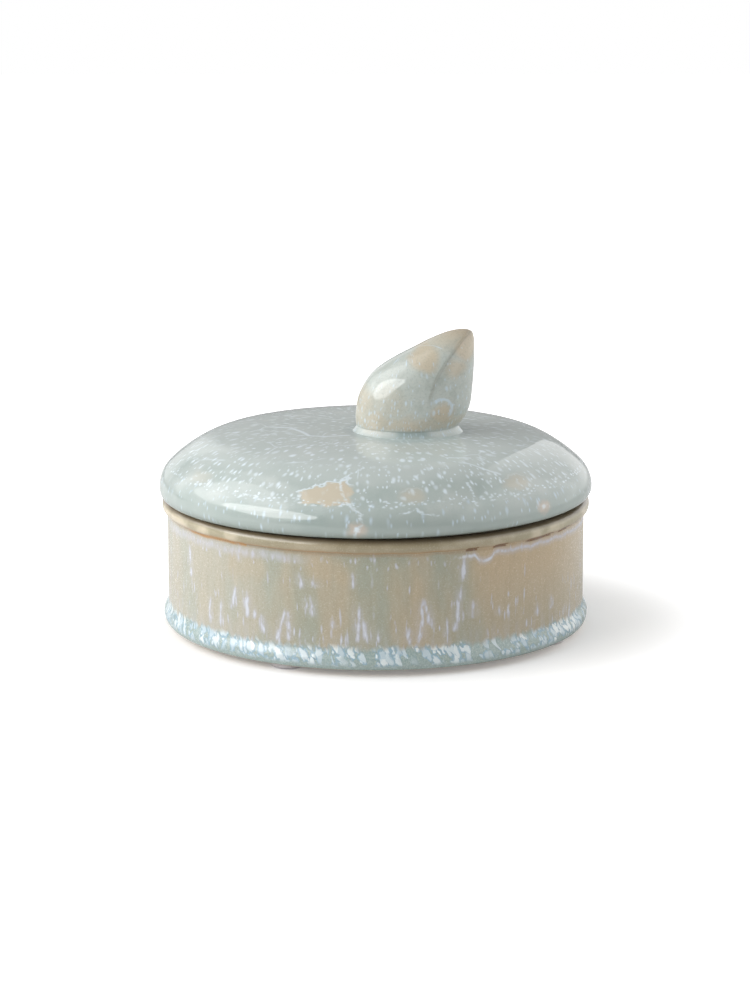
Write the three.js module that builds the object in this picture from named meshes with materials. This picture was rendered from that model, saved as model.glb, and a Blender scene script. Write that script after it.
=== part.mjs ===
// Low round pottery jar: a turned bowl on stick-on pads, a domed lift-off lid and a pointed bud for its knob.
// Millimetres, +Z up. The origin is at the centre of the circle that the pads stand on, and the front is -Y.
import * as THREE from "three";

// Clear pads under the base
const PAD_COUNT = 4;
const PAD_RADIUS = 5.5;
const PAD_HEIGHT = 2.0;
const PAD_EDGE_ROUND = 1.2;
const PAD_INSET = 6.9; // from the outside of the wall in to the middle of a pad
const PAD_BEARING = THREE.MathUtils.degToRad(-26.4); // first pad, from the front round towards +X

// Jar
const JAR_RADIUS = 69.9; // outside of the straight wall
const JAR_HEIGHT = 42.4; // from the foot ring to the top of the rim
const JAR_WALL = 4.9;
const FLOOR_THICKNESS = 5.4;
const FLOOR_FILLET = 5.0;
const FOOT_FLARE = 1.7; // how far the foot stands out from the wall
const FOOT_HEIGHT = 7.6;
const FOOT_LIP = 2.4; // height of the foot's widest line above the ring
const FOOT_UNDERCUT = 2.7; // from the widest line in to the edge of the ring
const FOOT_RING_WIDTH = 15.0; // flat ring that the pads are stuck to
const BASE_RECESS = 1.2;
const RIM_HEIGHT = 4.5;
const RIM_BEAD = 1.8; // how far the rim stands out from the wall
const RIM_EDGE_ROUND = 1.2;

// Lid
const LID_OVERHANG = 2.6; // beyond the outside of the jar's wall
const LID_HEIGHT = 22.4; // from the rim to the top of the crown
const LID_BELLY = 4.6; // height of the lid's widest line above the rim
const LID_UNDERCUT = 2.0; // from the widest line in to the edge of the seat
const CROWN_RADIUS = 51.0; // where the crown turns into the shoulder
const CROWN_RISE = 1.8;
const CROWN_THICKNESS = 5.2;
const SHOULDER_REACH = 8.5; // pull of the shoulder's curve at the crown
const SHOULDER_DROP = 5.5; // pull of the shoulder's curve at the widest line
const FLANGE_CLEARANCE = 0.7; // all round, between the flange and the jar's wall
const FLANGE_THICKNESS = 4.0;
const FLANGE_DEPTH = 6.0;
const HOLLOW_ROUND = 10.0; // round between the flange's inside and the lid's ceiling

// Bud knob, luted on the crown off its middle
const KNOB_X = 10.6;
const KNOB_Y = -5.0;
const LUTE_GAP = 0.3; // slip between knob and lid
const COLLAR_RADIUS = 18.1;
const COLLAR_HEIGHT = 0.9;
const WAIST_RADIUS = 17.0;
const WAIST_HEIGHT = 2.0;
const BUD_LEAN = 20.6; // tip, sideways from the middle of the collar
const BUD_HEIGHT = 34.0; // tip, above the crown
const TIP_RADIUS = 0.8;
const TIP_DEPTH_RATIO = 0.8; // front-to-back over side-to-side, where the bud ends
const BACK_SWELL = [-19.5, 18.0]; // pulls of the bud's long curved side
const BACK_SWEEP = [0.0, 31.0];
const BELLY_SWELL = [22.5, 9.0]; // pulls of the side that stands nearly upright
const BELLY_SWEEP = [22.2, 24.0];
const CREASE_STEP = 0.7; // depth of the fold that runs down the front from the tip
const CREASE_BEARING = THREE.MathUtils.degToRad(-78); // place of the fold round the bud
const CREASE_REACH = THREE.MathUtils.degToRad(80); // how far the step runs round before it is lost
const CREASE_FOOT = 0.3; // share of the bud's length where the fold starts

// Fineness of the facets
const TURN_STEPS = 64;
const CURVE_STEPS = 5;
const PAD_STEPS = 24;
const BUD_ROUND = 32;
const BUD_RINGS = 12;

// Levels and radii that follow from the sizes above
const ringZ = PAD_HEIGHT;
const rimZ = ringZ + JAR_HEIGHT;
const floorZ = ringZ + FLOOR_THICKNESS;
const jarInside = JAR_RADIUS - JAR_WALL;
const lidRadius = JAR_RADIUS + LID_OVERHANG;
const crownZ = rimZ + LID_HEIGHT;
const flangeOutside = jarInside - FLANGE_CLEARANCE;
const flangeInside = flangeOutside - FLANGE_THICKNESS;
const crownSphere = (CROWN_RADIUS ** 2 + CROWN_RISE ** 2) / (2 * CROWN_RISE);

const glaze = (color, roughness) => new THREE.MeshStandardMaterial({ color, roughness, metalness: 0 });
const jarGlaze = glaze(0xb8ab90, 0.25);
const lidGlaze = glaze(0xb3bebb, 0.12);
const knobGlaze = glaze(0xb9b5a4, 0.15);
const clearSilicone = glaze(0xd6d2d6, 0.4);

function named(name, geometry, material) {
  const mesh = new THREE.Mesh(geometry, material);
  mesh.name = name;
  return mesh;
}

// A half outline of (radius, height) turned about the upright axis
function turned(outline, steps) {
  const geometry = new THREE.LatheGeometry(outline.getPoints(CURVE_STEPS), steps);
  return geometry.rotateX(Math.PI / 2);
}

// Height of the lid's crown at a distance from its middle
function crownHeight(radius) {
  return crownZ - crownSphere + Math.sqrt(crownSphere ** 2 - radius ** 2);
}

function jarOutline() {
  const footRadius = JAR_RADIUS + FOOT_FLARE;
  const ringOuter = footRadius - FOOT_UNDERCUT;
  const ringInner = ringOuter - FOOT_RING_WIDTH;
  const rimRadius = JAR_RADIUS + RIM_BEAD;
  const rimFoot = rimZ - RIM_HEIGHT;
  const rimMiddle = rimZ - RIM_HEIGHT / 2;
  const rimFlat = rimRadius - RIM_EDGE_ROUND;
  const outline = new THREE.Path();
  outline.moveTo(0, ringZ + BASE_RECESS);
  outline.lineTo(ringInner - BASE_RECESS, ringZ + BASE_RECESS);
  outline.lineTo(ringInner, ringZ);
  outline.lineTo(ringOuter, ringZ);
  outline.quadraticCurveTo(footRadius, ringZ, footRadius, ringZ + FOOT_LIP);
  outline.bezierCurveTo(
    footRadius, ringZ + (FOOT_LIP + FOOT_HEIGHT) / 2,
    JAR_RADIUS, ringZ + (FOOT_LIP + FOOT_HEIGHT) / 2,
    JAR_RADIUS, ringZ + FOOT_HEIGHT,
  );
  outline.lineTo(JAR_RADIUS, rimFoot);
  outline.quadraticCurveTo(rimRadius, rimFoot, rimRadius, rimMiddle);
  outline.quadraticCurveTo(rimRadius, rimZ, rimFlat, rimZ);
  outline.lineTo(jarInside + RIM_EDGE_ROUND, rimZ);
  outline.quadraticCurveTo(jarInside, rimZ, jarInside, rimZ - RIM_EDGE_ROUND);
  outline.lineTo(jarInside, floorZ + FLOOR_FILLET);
  outline.quadraticCurveTo(jarInside, floorZ, jarInside - FLOOR_FILLET, floorZ);
  outline.lineTo(0, floorZ);
  return outline;
}

// The lid's outline starts under the crown and runs out round the hollow, flange, seat and shoulder to the top
function lidOutline() {
  const ceilingZ = crownZ - CROWN_THICKNESS;
  const hollowTop = ceilingZ - CROWN_RISE;
  const flangeFoot = rimZ - FLANGE_DEPTH;
  const flangeRound = FLANGE_THICKNESS / 2;
  const flangeMiddle = flangeInside + flangeRound;
  const bellyZ = rimZ + LID_BELLY;
  const crownEdge = crownHeight(CROWN_RADIUS);
  const crownSlope = CROWN_RADIUS / (crownSphere - CROWN_RISE);
  const outline = new THREE.Path();
  outline.moveTo(0, ceilingZ);
  outline.quadraticCurveTo((flangeInside - HOLLOW_ROUND) / 2, ceilingZ, flangeInside - HOLLOW_ROUND, hollowTop);
  outline.quadraticCurveTo(flangeInside, hollowTop, flangeInside, hollowTop - HOLLOW_ROUND);
  outline.lineTo(flangeInside, flangeFoot + flangeRound);
  outline.absarc(flangeMiddle, flangeFoot + flangeRound, flangeRound, Math.PI, 2 * Math.PI, false);
  outline.lineTo(flangeOutside, rimZ);
  outline.lineTo(lidRadius - LID_UNDERCUT, rimZ);
  outline.quadraticCurveTo(lidRadius, rimZ, lidRadius, bellyZ);
  outline.bezierCurveTo(
    lidRadius, bellyZ + SHOULDER_DROP,
    CROWN_RADIUS + SHOULDER_REACH, crownEdge - SHOULDER_REACH * crownSlope,
    CROWN_RADIUS, crownEdge,
  );
  for (let step = CURVE_STEPS - 1; step >= 0; step -= 1) {
    const radius = (CROWN_RADIUS * step) / CURVE_STEPS;
    outline.lineTo(radius, crownHeight(radius));
  }
  return outline;
}

// One ring of points round the bud: an ellipse across two side points, stepped in on one side of the fold
function budRing(back, belly, depth, fold) {
  const middle = back.clone().add(belly).multiplyScalar(0.5);
  const half = belly.clone().sub(back).multiplyScalar(0.5);
  const ring = [];
  for (let step = 0; step < BUD_ROUND; step += 1) {
    const bearing = (2 * Math.PI * step) / BUD_ROUND;
    const past = THREE.MathUtils.euclideanModulo(bearing - CREASE_BEARING, 2 * Math.PI);
    const inset = past < CREASE_REACH ? fold * (1 - past / CREASE_REACH) : 0;
    const size = 1 - inset / depth;
    ring.push(new THREE.Vector3(
      KNOB_X + middle.x + half.x * Math.cos(bearing) * size,
      KNOB_Y + depth * Math.sin(bearing) * size,
      middle.y + half.y * Math.cos(bearing) * size,
    ));
  }
  return ring;
}

// Collar, waist and bud, from the lid upwards
function budRings() {
  const seatZ = crownHeight(Math.hypot(KNOB_X, KNOB_Y));
  const at = (x, height) => new THREE.Vector2(x, seatZ + height);
  const tip = at(BUD_LEAN, BUD_HEIGHT);
  const back = new THREE.CubicBezierCurve(
    at(-WAIST_RADIUS, WAIST_HEIGHT),
    at(...BACK_SWELL),
    at(...BACK_SWEEP),
    tip.clone().add(new THREE.Vector2(-TIP_RADIUS, 0)),
  );
  const belly = new THREE.CubicBezierCurve(
    at(WAIST_RADIUS, WAIST_HEIGHT),
    at(...BELLY_SWELL),
    at(...BELLY_SWEEP),
    tip.clone().add(new THREE.Vector2(0, -TIP_RADIUS)),
  );
  const foot = budRing(at(-COLLAR_RADIUS, 0), at(COLLAR_RADIUS, 0), COLLAR_RADIUS, 0);
  for (const point of foot) {
    point.z = crownHeight(Math.hypot(point.x, point.y)) + LUTE_GAP;
  }
  const collar = budRing(at(-COLLAR_RADIUS, COLLAR_HEIGHT), at(COLLAR_RADIUS, COLLAR_HEIGHT), COLLAR_RADIUS, 0);
  const rings = [foot, collar];
  for (let step = 0; step <= BUD_RINGS; step += 1) {
    const along = step / BUD_RINGS;
    const left = back.getPoint(along);
    const right = belly.getPoint(along);
    const depth = (left.distanceTo(right) / 2) * THREE.MathUtils.lerp(1, TIP_DEPTH_RATIO, along);
    const fold = CREASE_STEP * THREE.MathUtils.smoothstep(along, CREASE_FOOT, 2 * CREASE_FOOT) * (1 - along);
    rings.push(budRing(left, right, depth, fold));
  }
  return { rings, tip: new THREE.Vector3(KNOB_X + tip.x, KNOB_Y, tip.y) };
}

// Skin over the rings, closed by a fan at the foot and one at the tip
function budGeometry() {
  const { rings, tip } = budRings();
  const seat = new THREE.Vector3(KNOB_X, KNOB_Y, crownHeight(Math.hypot(KNOB_X, KNOB_Y)) + LUTE_GAP);
  const points = [...rings.flat(), seat, tip];
  const seatIndex = points.length - 2;
  const tipIndex = points.length - 1;
  const lastRing = (rings.length - 1) * BUD_ROUND;
  const faces = [];
  for (let step = 0; step < BUD_ROUND; step += 1) {
    const next = (step + 1) % BUD_ROUND;
    faces.push(seatIndex, next, step);
    faces.push(lastRing + step, lastRing + next, tipIndex);
    for (let ring = 0; ring < rings.length - 1; ring += 1) {
      const below = ring * BUD_ROUND;
      const above = below + BUD_ROUND;
      faces.push(below + step, below + next, above + next);
      faces.push(below + step, above + next, above + step);
    }
  }
  const geometry = new THREE.BufferGeometry().setFromPoints(points);
  geometry.setIndex(faces);
  geometry.computeVertexNormals();
  return geometry;
}

function padOutline() {
  const outline = new THREE.Path();
  outline.moveTo(0, 0);
  outline.lineTo(PAD_RADIUS - PAD_EDGE_ROUND, 0);
  outline.quadraticCurveTo(PAD_RADIUS, 0, PAD_RADIUS, PAD_EDGE_ROUND);
  outline.lineTo(PAD_RADIUS, PAD_HEIGHT);
  outline.lineTo(0, PAD_HEIGHT);
  return outline;
}

const jar = new THREE.Group();
jar.add(named("jar_body", turned(jarOutline(), TURN_STEPS), jarGlaze));
for (let index = 0; index < PAD_COUNT; index += 1) {
  const bearing = PAD_BEARING + (2 * Math.PI * index) / PAD_COUNT;
  const pad = named(`foot_pad_${index + 1}`, turned(padOutline(), PAD_STEPS), clearSilicone);
  pad.position.set((JAR_RADIUS - PAD_INSET) * Math.sin(bearing), -(JAR_RADIUS - PAD_INSET) * Math.cos(bearing), 0);
  jar.add(pad);
}

const cover = new THREE.Group();
cover.add(named("lid", turned(lidOutline(), TURN_STEPS), lidGlaze));
cover.add(named("lid_knob", budGeometry(), knobGlaze));

const potteryJar = new THREE.Group();
potteryJar.add(jar, cover);

export default potteryJar;
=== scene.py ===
# %% [markdown]
# # A lidded stoneware jar
# A low round jar, thrown on the wheel and dipped in glazes that run in the kiln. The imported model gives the
# real sizes and says what moves: the lid, with its bud-shaped knob, lifts off the bowl. Everything made here
# is the finish around that frame, in metres, with +Z up and the front towards -Y.

# %% The frame
import math

import bpy
import numpy as np
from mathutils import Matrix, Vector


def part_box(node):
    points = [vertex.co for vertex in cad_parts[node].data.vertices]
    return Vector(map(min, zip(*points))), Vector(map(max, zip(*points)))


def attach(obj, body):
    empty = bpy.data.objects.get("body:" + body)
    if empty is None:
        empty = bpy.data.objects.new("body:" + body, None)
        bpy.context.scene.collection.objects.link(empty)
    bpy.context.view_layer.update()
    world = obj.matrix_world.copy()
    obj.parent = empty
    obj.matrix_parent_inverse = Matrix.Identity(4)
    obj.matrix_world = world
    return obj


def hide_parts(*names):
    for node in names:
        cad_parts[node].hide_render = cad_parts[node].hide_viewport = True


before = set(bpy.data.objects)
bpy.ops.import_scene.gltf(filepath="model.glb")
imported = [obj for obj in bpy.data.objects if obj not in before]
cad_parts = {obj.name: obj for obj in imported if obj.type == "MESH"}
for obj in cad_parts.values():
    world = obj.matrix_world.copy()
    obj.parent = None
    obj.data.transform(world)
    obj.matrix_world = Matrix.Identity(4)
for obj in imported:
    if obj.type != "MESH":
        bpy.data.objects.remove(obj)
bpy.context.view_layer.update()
MM = 0.001
scene = bpy.context.scene

# %% [markdown]
# ## Camera
# The jar is seen from a little above, from far enough away that its two sides look almost parallel. A long
# lens from 0.9 m does that. The camera's distance, height angle and lens were matched to the ellipses of the
# lid, the rim and the foot, so the object falls where it should in a picture of 750 by 1000 pixels.

# %% Camera
CAMERA_TARGET = (-0.24 * MM, 0.0, 41.55 * MM)
CAMERA_DISTANCE = 0.9
CAMERA_ELEVATION = math.radians(12.52)
PICTURE_HEIGHT_PX = 1000
FOCAL_LENGTH_PX = 2675
SENSOR_LONG_SIDE = 36.0

camera_data = bpy.data.cameras.new("camera")
camera_data.sensor_width = SENSOR_LONG_SIDE
camera_data.lens = FOCAL_LENGTH_PX / PICTURE_HEIGHT_PX * SENSOR_LONG_SIDE
camera = bpy.data.objects.new("camera", camera_data)
camera.location = (
    CAMERA_TARGET[0],
    CAMERA_TARGET[1] - CAMERA_DISTANCE * math.cos(CAMERA_ELEVATION),
    CAMERA_TARGET[2] + CAMERA_DISTANCE * math.sin(CAMERA_ELEVATION),
)
camera.rotation_euler = (math.pi / 2 - CAMERA_ELEVATION, 0.0, 0.0)
scene.collection.objects.link(camera)
scene.camera = camera
print("lens, mm:", round(camera_data.lens, 1))

# %% [markdown]
# ## Wiring nodes with Python arithmetic
# A shader or a Geometry Nodes tree is a web of small nodes. Written out one by one they are hard to read, so
# a node's output is wrapped in a class that understands plus, minus, times and so on, and each sign adds one
# Math node. Every other node comes from a single method, which takes the node's type, its settings and what
# goes into its sockets.

# %% Wires and benches
class Wire:
    """One output of a node. Arithmetic on it adds Math nodes to the same tree."""

    def __init__(self, bench, socket):
        self.bench = bench
        self.socket = socket

    def out(self, name):
        return Wire(self.bench, self.socket.node.outputs[name])

    def __add__(self, other):
        return self.bench.math("ADD", self, other)

    def __sub__(self, other):
        return self.bench.math("SUBTRACT", self, other)

    def __rsub__(self, other):
        return self.bench.math("SUBTRACT", other, self)

    def __mul__(self, other):
        return self.bench.math("MULTIPLY", self, other)

    def __truediv__(self, other):
        return self.bench.math("DIVIDE", self, other)

    def __rtruediv__(self, other):
        return self.bench.math("DIVIDE", other, self)

    def __abs__(self):
        return self.bench.math("ABSOLUTE", self)

    __radd__ = __add__
    __rmul__ = __mul__


class Bench:
    """A node tree, with one method that adds a node to it."""

    def __init__(self, tree):
        self.tree = tree

    def node(self, kind, settings=None, sockets=None):
        made = self.tree.nodes.new(kind)
        for name, value in (settings or {}).items():
            setattr(made, name, value)
        for key, value in (sockets or {}).items():
            if isinstance(value, Wire):
                self.tree.links.new(value.socket, made.inputs[key])
            else:
                made.inputs[key].default_value = value
        return Wire(self, made.outputs[0]) if len(made.outputs) else made

    def math(self, operation, *values):
        return self.node("ShaderNodeMath", {"operation": operation}, dict(enumerate(values)))

    def hypot(self, first, second):
        return self.math("SQRT", first * first + second * second)

    def vector(self, x, y, z):
        return self.node("ShaderNodeCombineXYZ", None, {0: x, 1: y, 2: z})

    def split(self, vector):
        parts = self.node("ShaderNodeSeparateXYZ", None, {0: vector})
        return parts.out("X"), parts.out("Y"), parts.out("Z")

    def vector_math(self, operation, first, second):
        slot = 3 if operation == "SCALE" else 1
        made = self.node("ShaderNodeVectorMath", {"operation": operation}, {0: first, slot: second})
        return made.out("Value") if operation == "DOT_PRODUCT" else made

    def ease(self, value, start, end):
        """0 at start and 1 at end, with a soft turn at both. start may be the larger."""
        settings = {"interpolation_type": "SMOOTHSTEP", "clamp": True}
        return self.node("ShaderNodeMapRange", settings, {"Value": value, "From Min": start, "From Max": end})


print("benches ready")

# %% [markdown]
# ## Outlines
# A thrown pot is one half outline turned about an axis. The outline is drawn here with a pen: straight
# stretches, and Bezier stretches whose pulls give the curve. Each stretch says how many steps it takes, so
# the curved and visible stretches get more of them than the flat floor inside.

# %% A pen for half outlines
class Outline:
    """A half outline in millimetres, as (radius, height) points."""

    def __init__(self, radius, height):
        self.points = [(radius, height)]

    def stretch(self, steps, *pulls_and_end):
        hull = np.array([self.points[-1], *pulls_and_end], dtype=float)
        degree = len(hull) - 1
        for step in range(1, steps + 1):
            along = step / steps
            weights = [
                math.comb(degree, i) * along**i * (1 - along) ** (degree - i) for i in range(degree + 1)
            ]
            self.points.append(tuple(np.dot(weights, hull)))
        return self


def outline_object(name, outline):
    mesh = bpy.data.meshes.new(name)
    mesh.from_pydata([(radius * MM, 0.0, height * MM) for radius, height in outline.points], [], [])
    holder = bpy.data.objects.new(name, mesh)
    scene.collection.objects.link(holder)
    return holder


print("pen ready")

# %% [markdown]
# ## The wheel
# Turning is a rule, so Geometry Nodes follow it: a grid is rolled up round the axis, with one side of the
# grid along the outline and the other side round the pot. No hand-thrown pot is a perfect turning, so the
# tree then lets the wall wander a little along its normals, with a slow noise. A spin modifier would give
# the turning but not the wander, and the tree keeps both in one place with named sizes.

# %% The wheel as a Geometry Nodes tree
WHEEL_INPUTS = {
    "Outline": "Object",
    "Outline Points": "Int",
    "Steps Round": "Int",
    "Wander": "Float",
    "Wander Length": "Float",
    "Seed": "Float",
    "Glaze": "Material",
}
MERGE_DISTANCE = 0.001 * MM


def new_tree(name, inputs, output):
    """A Geometry Nodes tree with named inputs, and the identifiers that a modifier sets them by."""
    tree = bpy.data.node_groups.new(name, "GeometryNodeTree")
    identifiers = {}
    for label, kind in inputs.items():
        socket = tree.interface.new_socket(label, in_out="INPUT", socket_type="NodeSocket" + kind)
        identifiers[label] = socket.identifier
    tree.interface.new_socket(output, in_out="OUTPUT", socket_type="NodeSocketGeometry")
    return tree, identifiers


def build_wheel():
    tree, identifiers = new_tree("potters_wheel", WHEEL_INPUTS, "Pot")
    wheel = Bench(tree)
    entry = wheel.node("NodeGroupInput")
    outline = wheel.node("GeometryNodeObjectInfo", None, {"Object": entry.out("Outline")}).out("Geometry")
    rows = entry.out("Outline Points")
    columns = entry.out("Steps Round")
    grid = wheel.node("GeometryNodeMeshGrid", None, {"Vertices X": columns + 1, "Vertices Y": rows})
    index = wheel.node("GeometryNodeInputIndex")
    column = wheel.math("FLOOR", index / rows)
    place = wheel.node("GeometryNodeInputPosition")
    drawn = wheel.node(
        "GeometryNodeSampleIndex",
        {"data_type": "FLOAT_VECTOR", "domain": "POINT"},
        {"Geometry": outline, "Value": place, "Index": wheel.math("MODULO", index, rows)},
    )
    radius, _, height = wheel.split(drawn)
    turn = column / columns * math.tau
    rolled = wheel.vector(radius * wheel.math("SINE", turn), radius * wheel.math("COSINE", turn) * -1, height)
    pot = wheel.node("GeometryNodeSetPosition", None, {"Geometry": grid, "Position": rolled})
    pot = wheel.node("GeometryNodeMergeByDistance", None, {"Geometry": pot, "Distance": MERGE_DISTANCE})
    noise = wheel.node(
        "ShaderNodeTexNoise",
        {"noise_dimensions": "4D"},
        {"W": entry.out("Seed"), "Scale": 1.0 / entry.out("Wander Length"), "Detail": 1.0},
    )
    normal = wheel.node("GeometryNodeInputNormal")
    shift = wheel.vector_math("SCALE", normal, (noise - 0.5) * 2 * entry.out("Wander"))
    pot = wheel.node("GeometryNodeSetPosition", None, {"Geometry": pot, "Offset": shift})
    pot = wheel.node("GeometryNodeSetShadeSmooth", None, {"Geometry": pot})
    pot = wheel.node("GeometryNodeRealizeInstances", None, {"Geometry": pot})
    pot = wheel.node("GeometryNodeSetMaterial", None, {"Geometry": pot, "Material": entry.out("Glaze")})
    wheel.node("NodeGroupOutput", None, {"Pot": pot})
    return tree, identifiers


WHEEL = build_wheel()
print("wheel:", len(WHEEL[0].nodes), "nodes")

# %% Throwing a pot
def settle(piece, *helpers):
    """Makes a piece's modifiers its own plain mesh, and removes them and the helpers that they read."""
    bpy.context.view_layer.update()
    made = bpy.data.meshes.new_from_object(piece.evaluated_get(bpy.context.evaluated_depsgraph_get()))
    piece.modifiers.clear()
    piece.data = made
    made.name = piece.name
    for helper in helpers:
        bpy.data.objects.remove(helper)
    return piece


def new_piece(name, mesh=None):
    piece = bpy.data.objects.new(name, mesh or bpy.data.meshes.new(name))
    scene.collection.objects.link(piece)
    return piece


def node_modifier(piece, tree, identifiers, values):
    modifier = piece.modifiers.new(tree.name, "NODES")
    modifier.node_group = tree
    for name, value in values.items():
        modifier[identifiers[name]] = value


def throw(name, outline, steps_round, wander, wander_length, seed, glaze):
    """Turns an outline on the wheel, as a plain mesh at the origin. Sizes in millimetres."""
    drawn = outline_object(name + "_outline", outline)
    pot = new_piece(name)
    values = {
        "Outline": drawn,
        "Outline Points": len(outline.points),
        "Steps Round": steps_round,
        "Wander": wander * MM,
        "Wander Length": wander_length * MM,
        "Seed": seed,
        "Glaze": glaze,
    }
    node_modifier(pot, *WHEEL, values)
    return settle(pot, drawn)


STEPS_ROUND = 360
print("pots have", STEPS_ROUND, "steps round")

# %% [markdown]
# ## The place on a pot
# Every pattern in a glaze starts from where a point lies on the pot. Object coordinates say that, so the
# pattern is fixed to the clay. They are turned into millimetres, the distance from the axis and the way round
# it. For drops to lie on, a wall is unrolled as a flat chart. It unrolls both ways from one side, so that its
# two halves meet without a seam.

# %% Tones and the place on a pot
CHART_START = math.radians(-100)
GLAZE_IOR = 1.6


def tone(red, green, blue):
    """A colour read by eye as 0 to 255, in the linear values that shaders use."""
    linear = [((c / 255 + 0.055) / 1.055) ** 2.4 for c in (red, green, blue)]
    return (*linear, 1.0)


class PotBench(Bench):
    """A material's tree, with the place on the pot in millimetres."""

    def __init__(self, name, axis):
        self.material = bpy.data.materials.new(name)
        self.material.use_nodes = True
        super().__init__(self.material.node_tree)
        self.shader = self.tree.nodes["Principled BSDF"]
        self.shader.inputs["IOR"].default_value = GLAZE_IOR
        place = self.node("ShaderNodeTexCoord").out("Object")
        place = self.vector_math("SCALE", place, 1 / MM)
        self.place = self.vector_math("SUBTRACT", place, (*axis, 0.0))
        self.x, self.y, self.z = self.split(self.place)
        self.radius = self.hypot(self.x, self.y)
        self.outward = self.vector(self.x / self.radius, self.y / self.radius, 0.0)
        self.round = self.math("ARCCOSINE", self.facing(CHART_START))

    def facing(self, azimuth):
        """Cosine of the way round from an azimuth in radians, which runs from the front towards +X."""
        return self.vector_math("DOT_PRODUCT", self.outward, (math.sin(azimuth), -math.cos(azimuth), 0.0))

    def towards(self, azimuth, half_width, core=0.0):
        """1 at an azimuth in degrees, and 0 from the half width on. core is the share that is full."""
        outer, inner = math.radians(half_width), math.radians(half_width * core)
        return self.ease(self.facing(math.radians(azimuth)), math.cos(outer), math.cos(inner))

    def aside(self, azimuth, radius):
        """The way round from an azimuth in degrees, either way, at a radius."""
        return self.math("ARCCOSINE", self.facing(math.radians(azimuth))) * radius

    def chart(self, radius, level, drawn=1.0, slant=0.0):
        """The wall unrolled flat at a radius. Drops on it come out drawn so many times their width."""
        return self.vector(self.round * radius + level * slant, level / drawn, 0.0)

    @staticmethod
    def on_chart(radius, points):
        """Points given by azimuth in degrees and level, as they lie on the chart at a radius."""
        return [((math.radians(azimuth) - CHART_START) * radius, level) for azimuth, level in points]


print("wall charts start at", round(math.degrees(CHART_START)), "degrees")

# %% [markdown]
# ## Masks
# A mask says how much of something there is at a point, from 0 to 1. Soft steps, lines, cloudy noise and
# random cells make all of them here. An image could hold a mask too, but these have no pixels and no seam,
# and their sizes are in millimetres.

# %% Masks
class MaskBench(PotBench):
    """A pot's tree, with the kinds of masks that a glaze needs."""

    def most(self, *masks):
        """The strongest of some masks."""
        result = masks[0]
        for mask in masks[1:]:
            result = self.math("MAXIMUM", result, mask)
        return result

    def near(self, value, middle, reach, core=0.3):
        """1 where a value is at the middle, and 0 from the reach on. core is the share that is full."""
        return self.ease(abs(value - middle), reach, reach * core)

    def noise(self, place, length, detail, seed):
        """Cloudy noise from about 0.25 to 0.75, with lumps of about that length."""
        sockets = {"Vector": place, "W": seed, "Scale": 1 / length, "Detail": detail}
        return self.node("ShaderNodeTexNoise", {"noise_dimensions": "4D"}, sockets)

    def drift(self, place, length, detail, seed, spread):
        """Cloudy noise about 0, up to about a quarter of the spread either way."""
        return (self.noise(place, length, detail, seed) - 0.5) * spread

    def veil(self, place, length, level, soft, seed):
        """1 where a cloudy noise is over a level, with a shore as soft as asked."""
        return self.ease(self.noise(place, length, 2.0, seed), level - soft, level + soft)

    def warped(self, place, reach, length, seed):
        """The place pushed about by up to reach, so that edges on it wander."""
        push = self.noise(place, length, 1.0, seed).out("Color")
        push = self.vector_math("SUBTRACT", push, (0.5, 0.5, 0.5))
        return self.vector_math("ADD", place, self.vector_math("SCALE", push, 2 * reach))

    def cells(self, place, pitch, seed, feature="F1"):
        """Random flat cells of a pitch. Their distances are shares of the pitch."""
        scaled = self.vector_math("SCALE", place, 1 / pitch)
        shifted = self.vector_math("ADD", scaled, (seed, seed * 2, 0.0))
        settings = {"feature": feature, "voronoi_dimensions": "2D"}
        return self.node("ShaderNodeTexVoronoi", settings, {"Vector": shifted, "Scale": 1.0})

    def luck(self, cell):
        """Three random values, the same all over one cell."""
        parts = self.node("ShaderNodeSeparateColor", None, {0: cell.out("Color")})
        return parts.out("Red"), parts.out("Green"), parts.out("Blue")

    def specks(self, place, pitch, size, chance, seed, core=0.4):
        """One soft drop in some of the cells. size is the largest drop's reach as a share of the pitch."""
        cell = self.cells(place, pitch, seed)
        grow, have, strong = self.luck(cell)
        reach = (grow * 0.6 + 0.4) * size
        there = self.ease(have - chance, 0.06, -0.06)
        return self.ease(cell, reach, reach * core) * there * (strong * 0.5 + 0.5)

    def stroke(self, flat, points, reach):
        """A soft line through points on a flat place, in millimetres."""
        mark = 0.0
        for start, end in zip(points, points[1:]):
            way = np.subtract(end, start)
            span = float(np.hypot(*way))
            course = (*(way / span), 0.0)
            offset = self.vector_math("SUBTRACT", flat, (*start, 0.0))
            along = self.vector_math("DOT_PRODUCT", offset, course)
            along = self.math("MINIMUM", self.math("MAXIMUM", along, 0.0), span)
            nearest = self.vector_math("SCALE", course, along)
            gap = self.vector_math("SUBTRACT", offset, nearest)
            gap = self.math("SQRT", self.vector_math("DOT_PRODUCT", gap, gap))
            mark = self.most(mark, self.ease(gap, reach, reach * 0.2))
        return mark


print("masks ready")

# %% [markdown]
# ## Layers
# A reactive glaze isn't one colour. Drops of white float to the surface, runs are pulled down the wall as it
# melts, and it pools where the wall turns out at the foot. So a glaze is built up here: each mask lays one
# colour over those before it. The finished colour, the roughness and the relief then go to the shader.

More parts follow.
